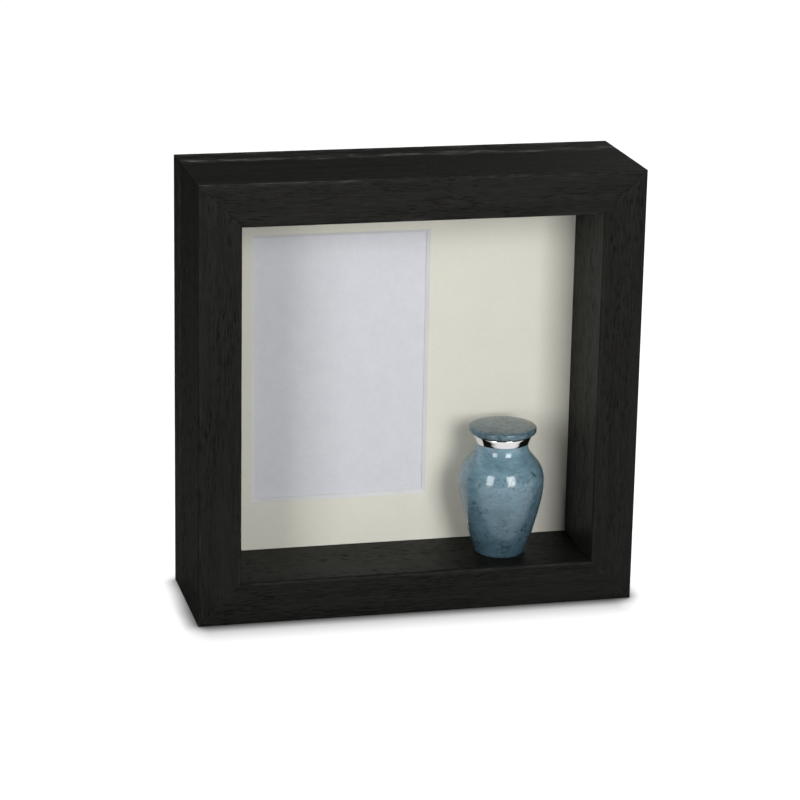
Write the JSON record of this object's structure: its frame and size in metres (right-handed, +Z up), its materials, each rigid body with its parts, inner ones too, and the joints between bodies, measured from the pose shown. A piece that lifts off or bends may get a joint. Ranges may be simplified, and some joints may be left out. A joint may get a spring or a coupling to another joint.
{
  "type": "shadow box",
  "caption": "Square black-stained wooden shadow box, open at the front, with a cream window mat for a portrait print and a small lidded keepsake urn on its floor.",
  "frame": {"origin": "middle of the footprint, on the surface the box stands on", "axes": "+X to the right seen from the front, +Y from the open front to the back, +Z up"},
  "size_m": [0.23, 0.0734, 0.23],
  "materials": {
    "wood": "black stain, open grain, satin",
    "mat_card": "cream faced card, white core",
    "print_paper": "blank, matte",
    "hardboard": "plain brown hardboard",
    "steel": "bright zinc plate",
    "enamel": "glossy blue-grey marbled enamel",
    "chrome_band": "polished",
    "washer_rubber": "matte",
    "pad_felt": "felt"
  },
  "bodies": {
    "case": {"front_top_rail": "wood", "front_bottom_rail": "wood", "front_left_stile": "wood", "front_right_stile": "wood", "rear_top_rail": "wood", "rear_bottom_rail": "wood", "rear_left_stile": "wood", "rear_right_stile": "wood", "front_v_nail_top_right": "steel", "front_v_nail_bottom_right": "steel", "front_v_nail_bottom_left": "steel", "front_v_nail_top_left": "steel", "rear_v_nail_top_right": "steel", "rear_v_nail_bottom_right": "steel", "rear_v_nail_bottom_left": "steel", "rear_v_nail_top_left": "steel", "rear_screw_top_a": "steel", "rear_screw_top_b": "steel", "rear_screw_right_a": "steel", "rear_screw_right_b": "steel", "rear_screw_bottom_a": "steel", "rear_screw_bottom_b": "steel", "rear_screw_left_a": "steel", "rear_screw_left_b": "steel", "mat_board": "mat_card", "photo_print": "print_paper", "backing_board": "hardboard", "button_screw_top": "steel", "button_screw_right": "steel", "button_screw_bottom": "steel", "button_screw_left": "steel", "sawtooth_hanger": "steel", "hanger_screw_left": "steel", "hanger_screw_right": "steel"},
    "urn": {"urn_body": "enamel", "urn_neck_band": "chrome_band", "urn_base_pad": "pad_felt"},
    "lid_washer": {"urn_lid_washer": "washer_rubber"},
    "lid": {"urn_lid": "enamel"},
    "button_top": {"turn_button_top": "steel"},
    "button_right": {"turn_button_right": "steel"},
    "button_bottom": {"turn_button_bottom": "steel"},
    "button_left": {"turn_button_left": "steel"}
  },
  "joints": [
    {"name": "urn_slide_out", "type": "slide", "parent": "case", "child": "urn", "axis": [0, -1, 0], "range_m": [0, 0.075]},
    {"name": "urn_lid_lift", "type": "slide", "parent": "urn", "child": "lid_washer", "axis": [0, 0, 1], "range_m": [0, 0.006]},
    {"name": "urn_lid_turn", "type": "hinge", "parent": "lid_washer", "child": "lid", "pos_m": [0.0497, -0.01185, 0.0885], "axis": [0, 0, 1], "range_deg": [0, 1728]},
    {"name": "turn_button_top_swivel", "type": "hinge", "parent": "case", "child": "button_top", "pos_m": [0, 0.01905, 0.2162], "axis": [0, 1, 0], "range_deg": [-90, 90]},
    {"name": "turn_button_right_swivel", "type": "hinge", "parent": "case", "child": "button_right", "pos_m": [0.1012, 0.01905, 0.115], "axis": [0, 1, 0], "range_deg": [-90, 90]},
    {"name": "turn_button_bottom_swivel", "type": "hinge", "parent": "case", "child": "button_bottom", "pos_m": [0, 0.01905, 0.0138], "axis": [0, 1, 0], "range_deg": [-90, 90]},
    {"name": "turn_button_left_swivel", "type": "hinge", "parent": "case", "child": "button_left", "pos_m": [-0.1012, 0.01905, 0.115], "axis": [0, 1, 0], "range_deg": [-90, 90]}
  ],
  "couplings": [
    {"joint": "urn_lid_lift", "follows": "urn_lid_turn", "m_per_rad": 0.00019894}
  ]
}
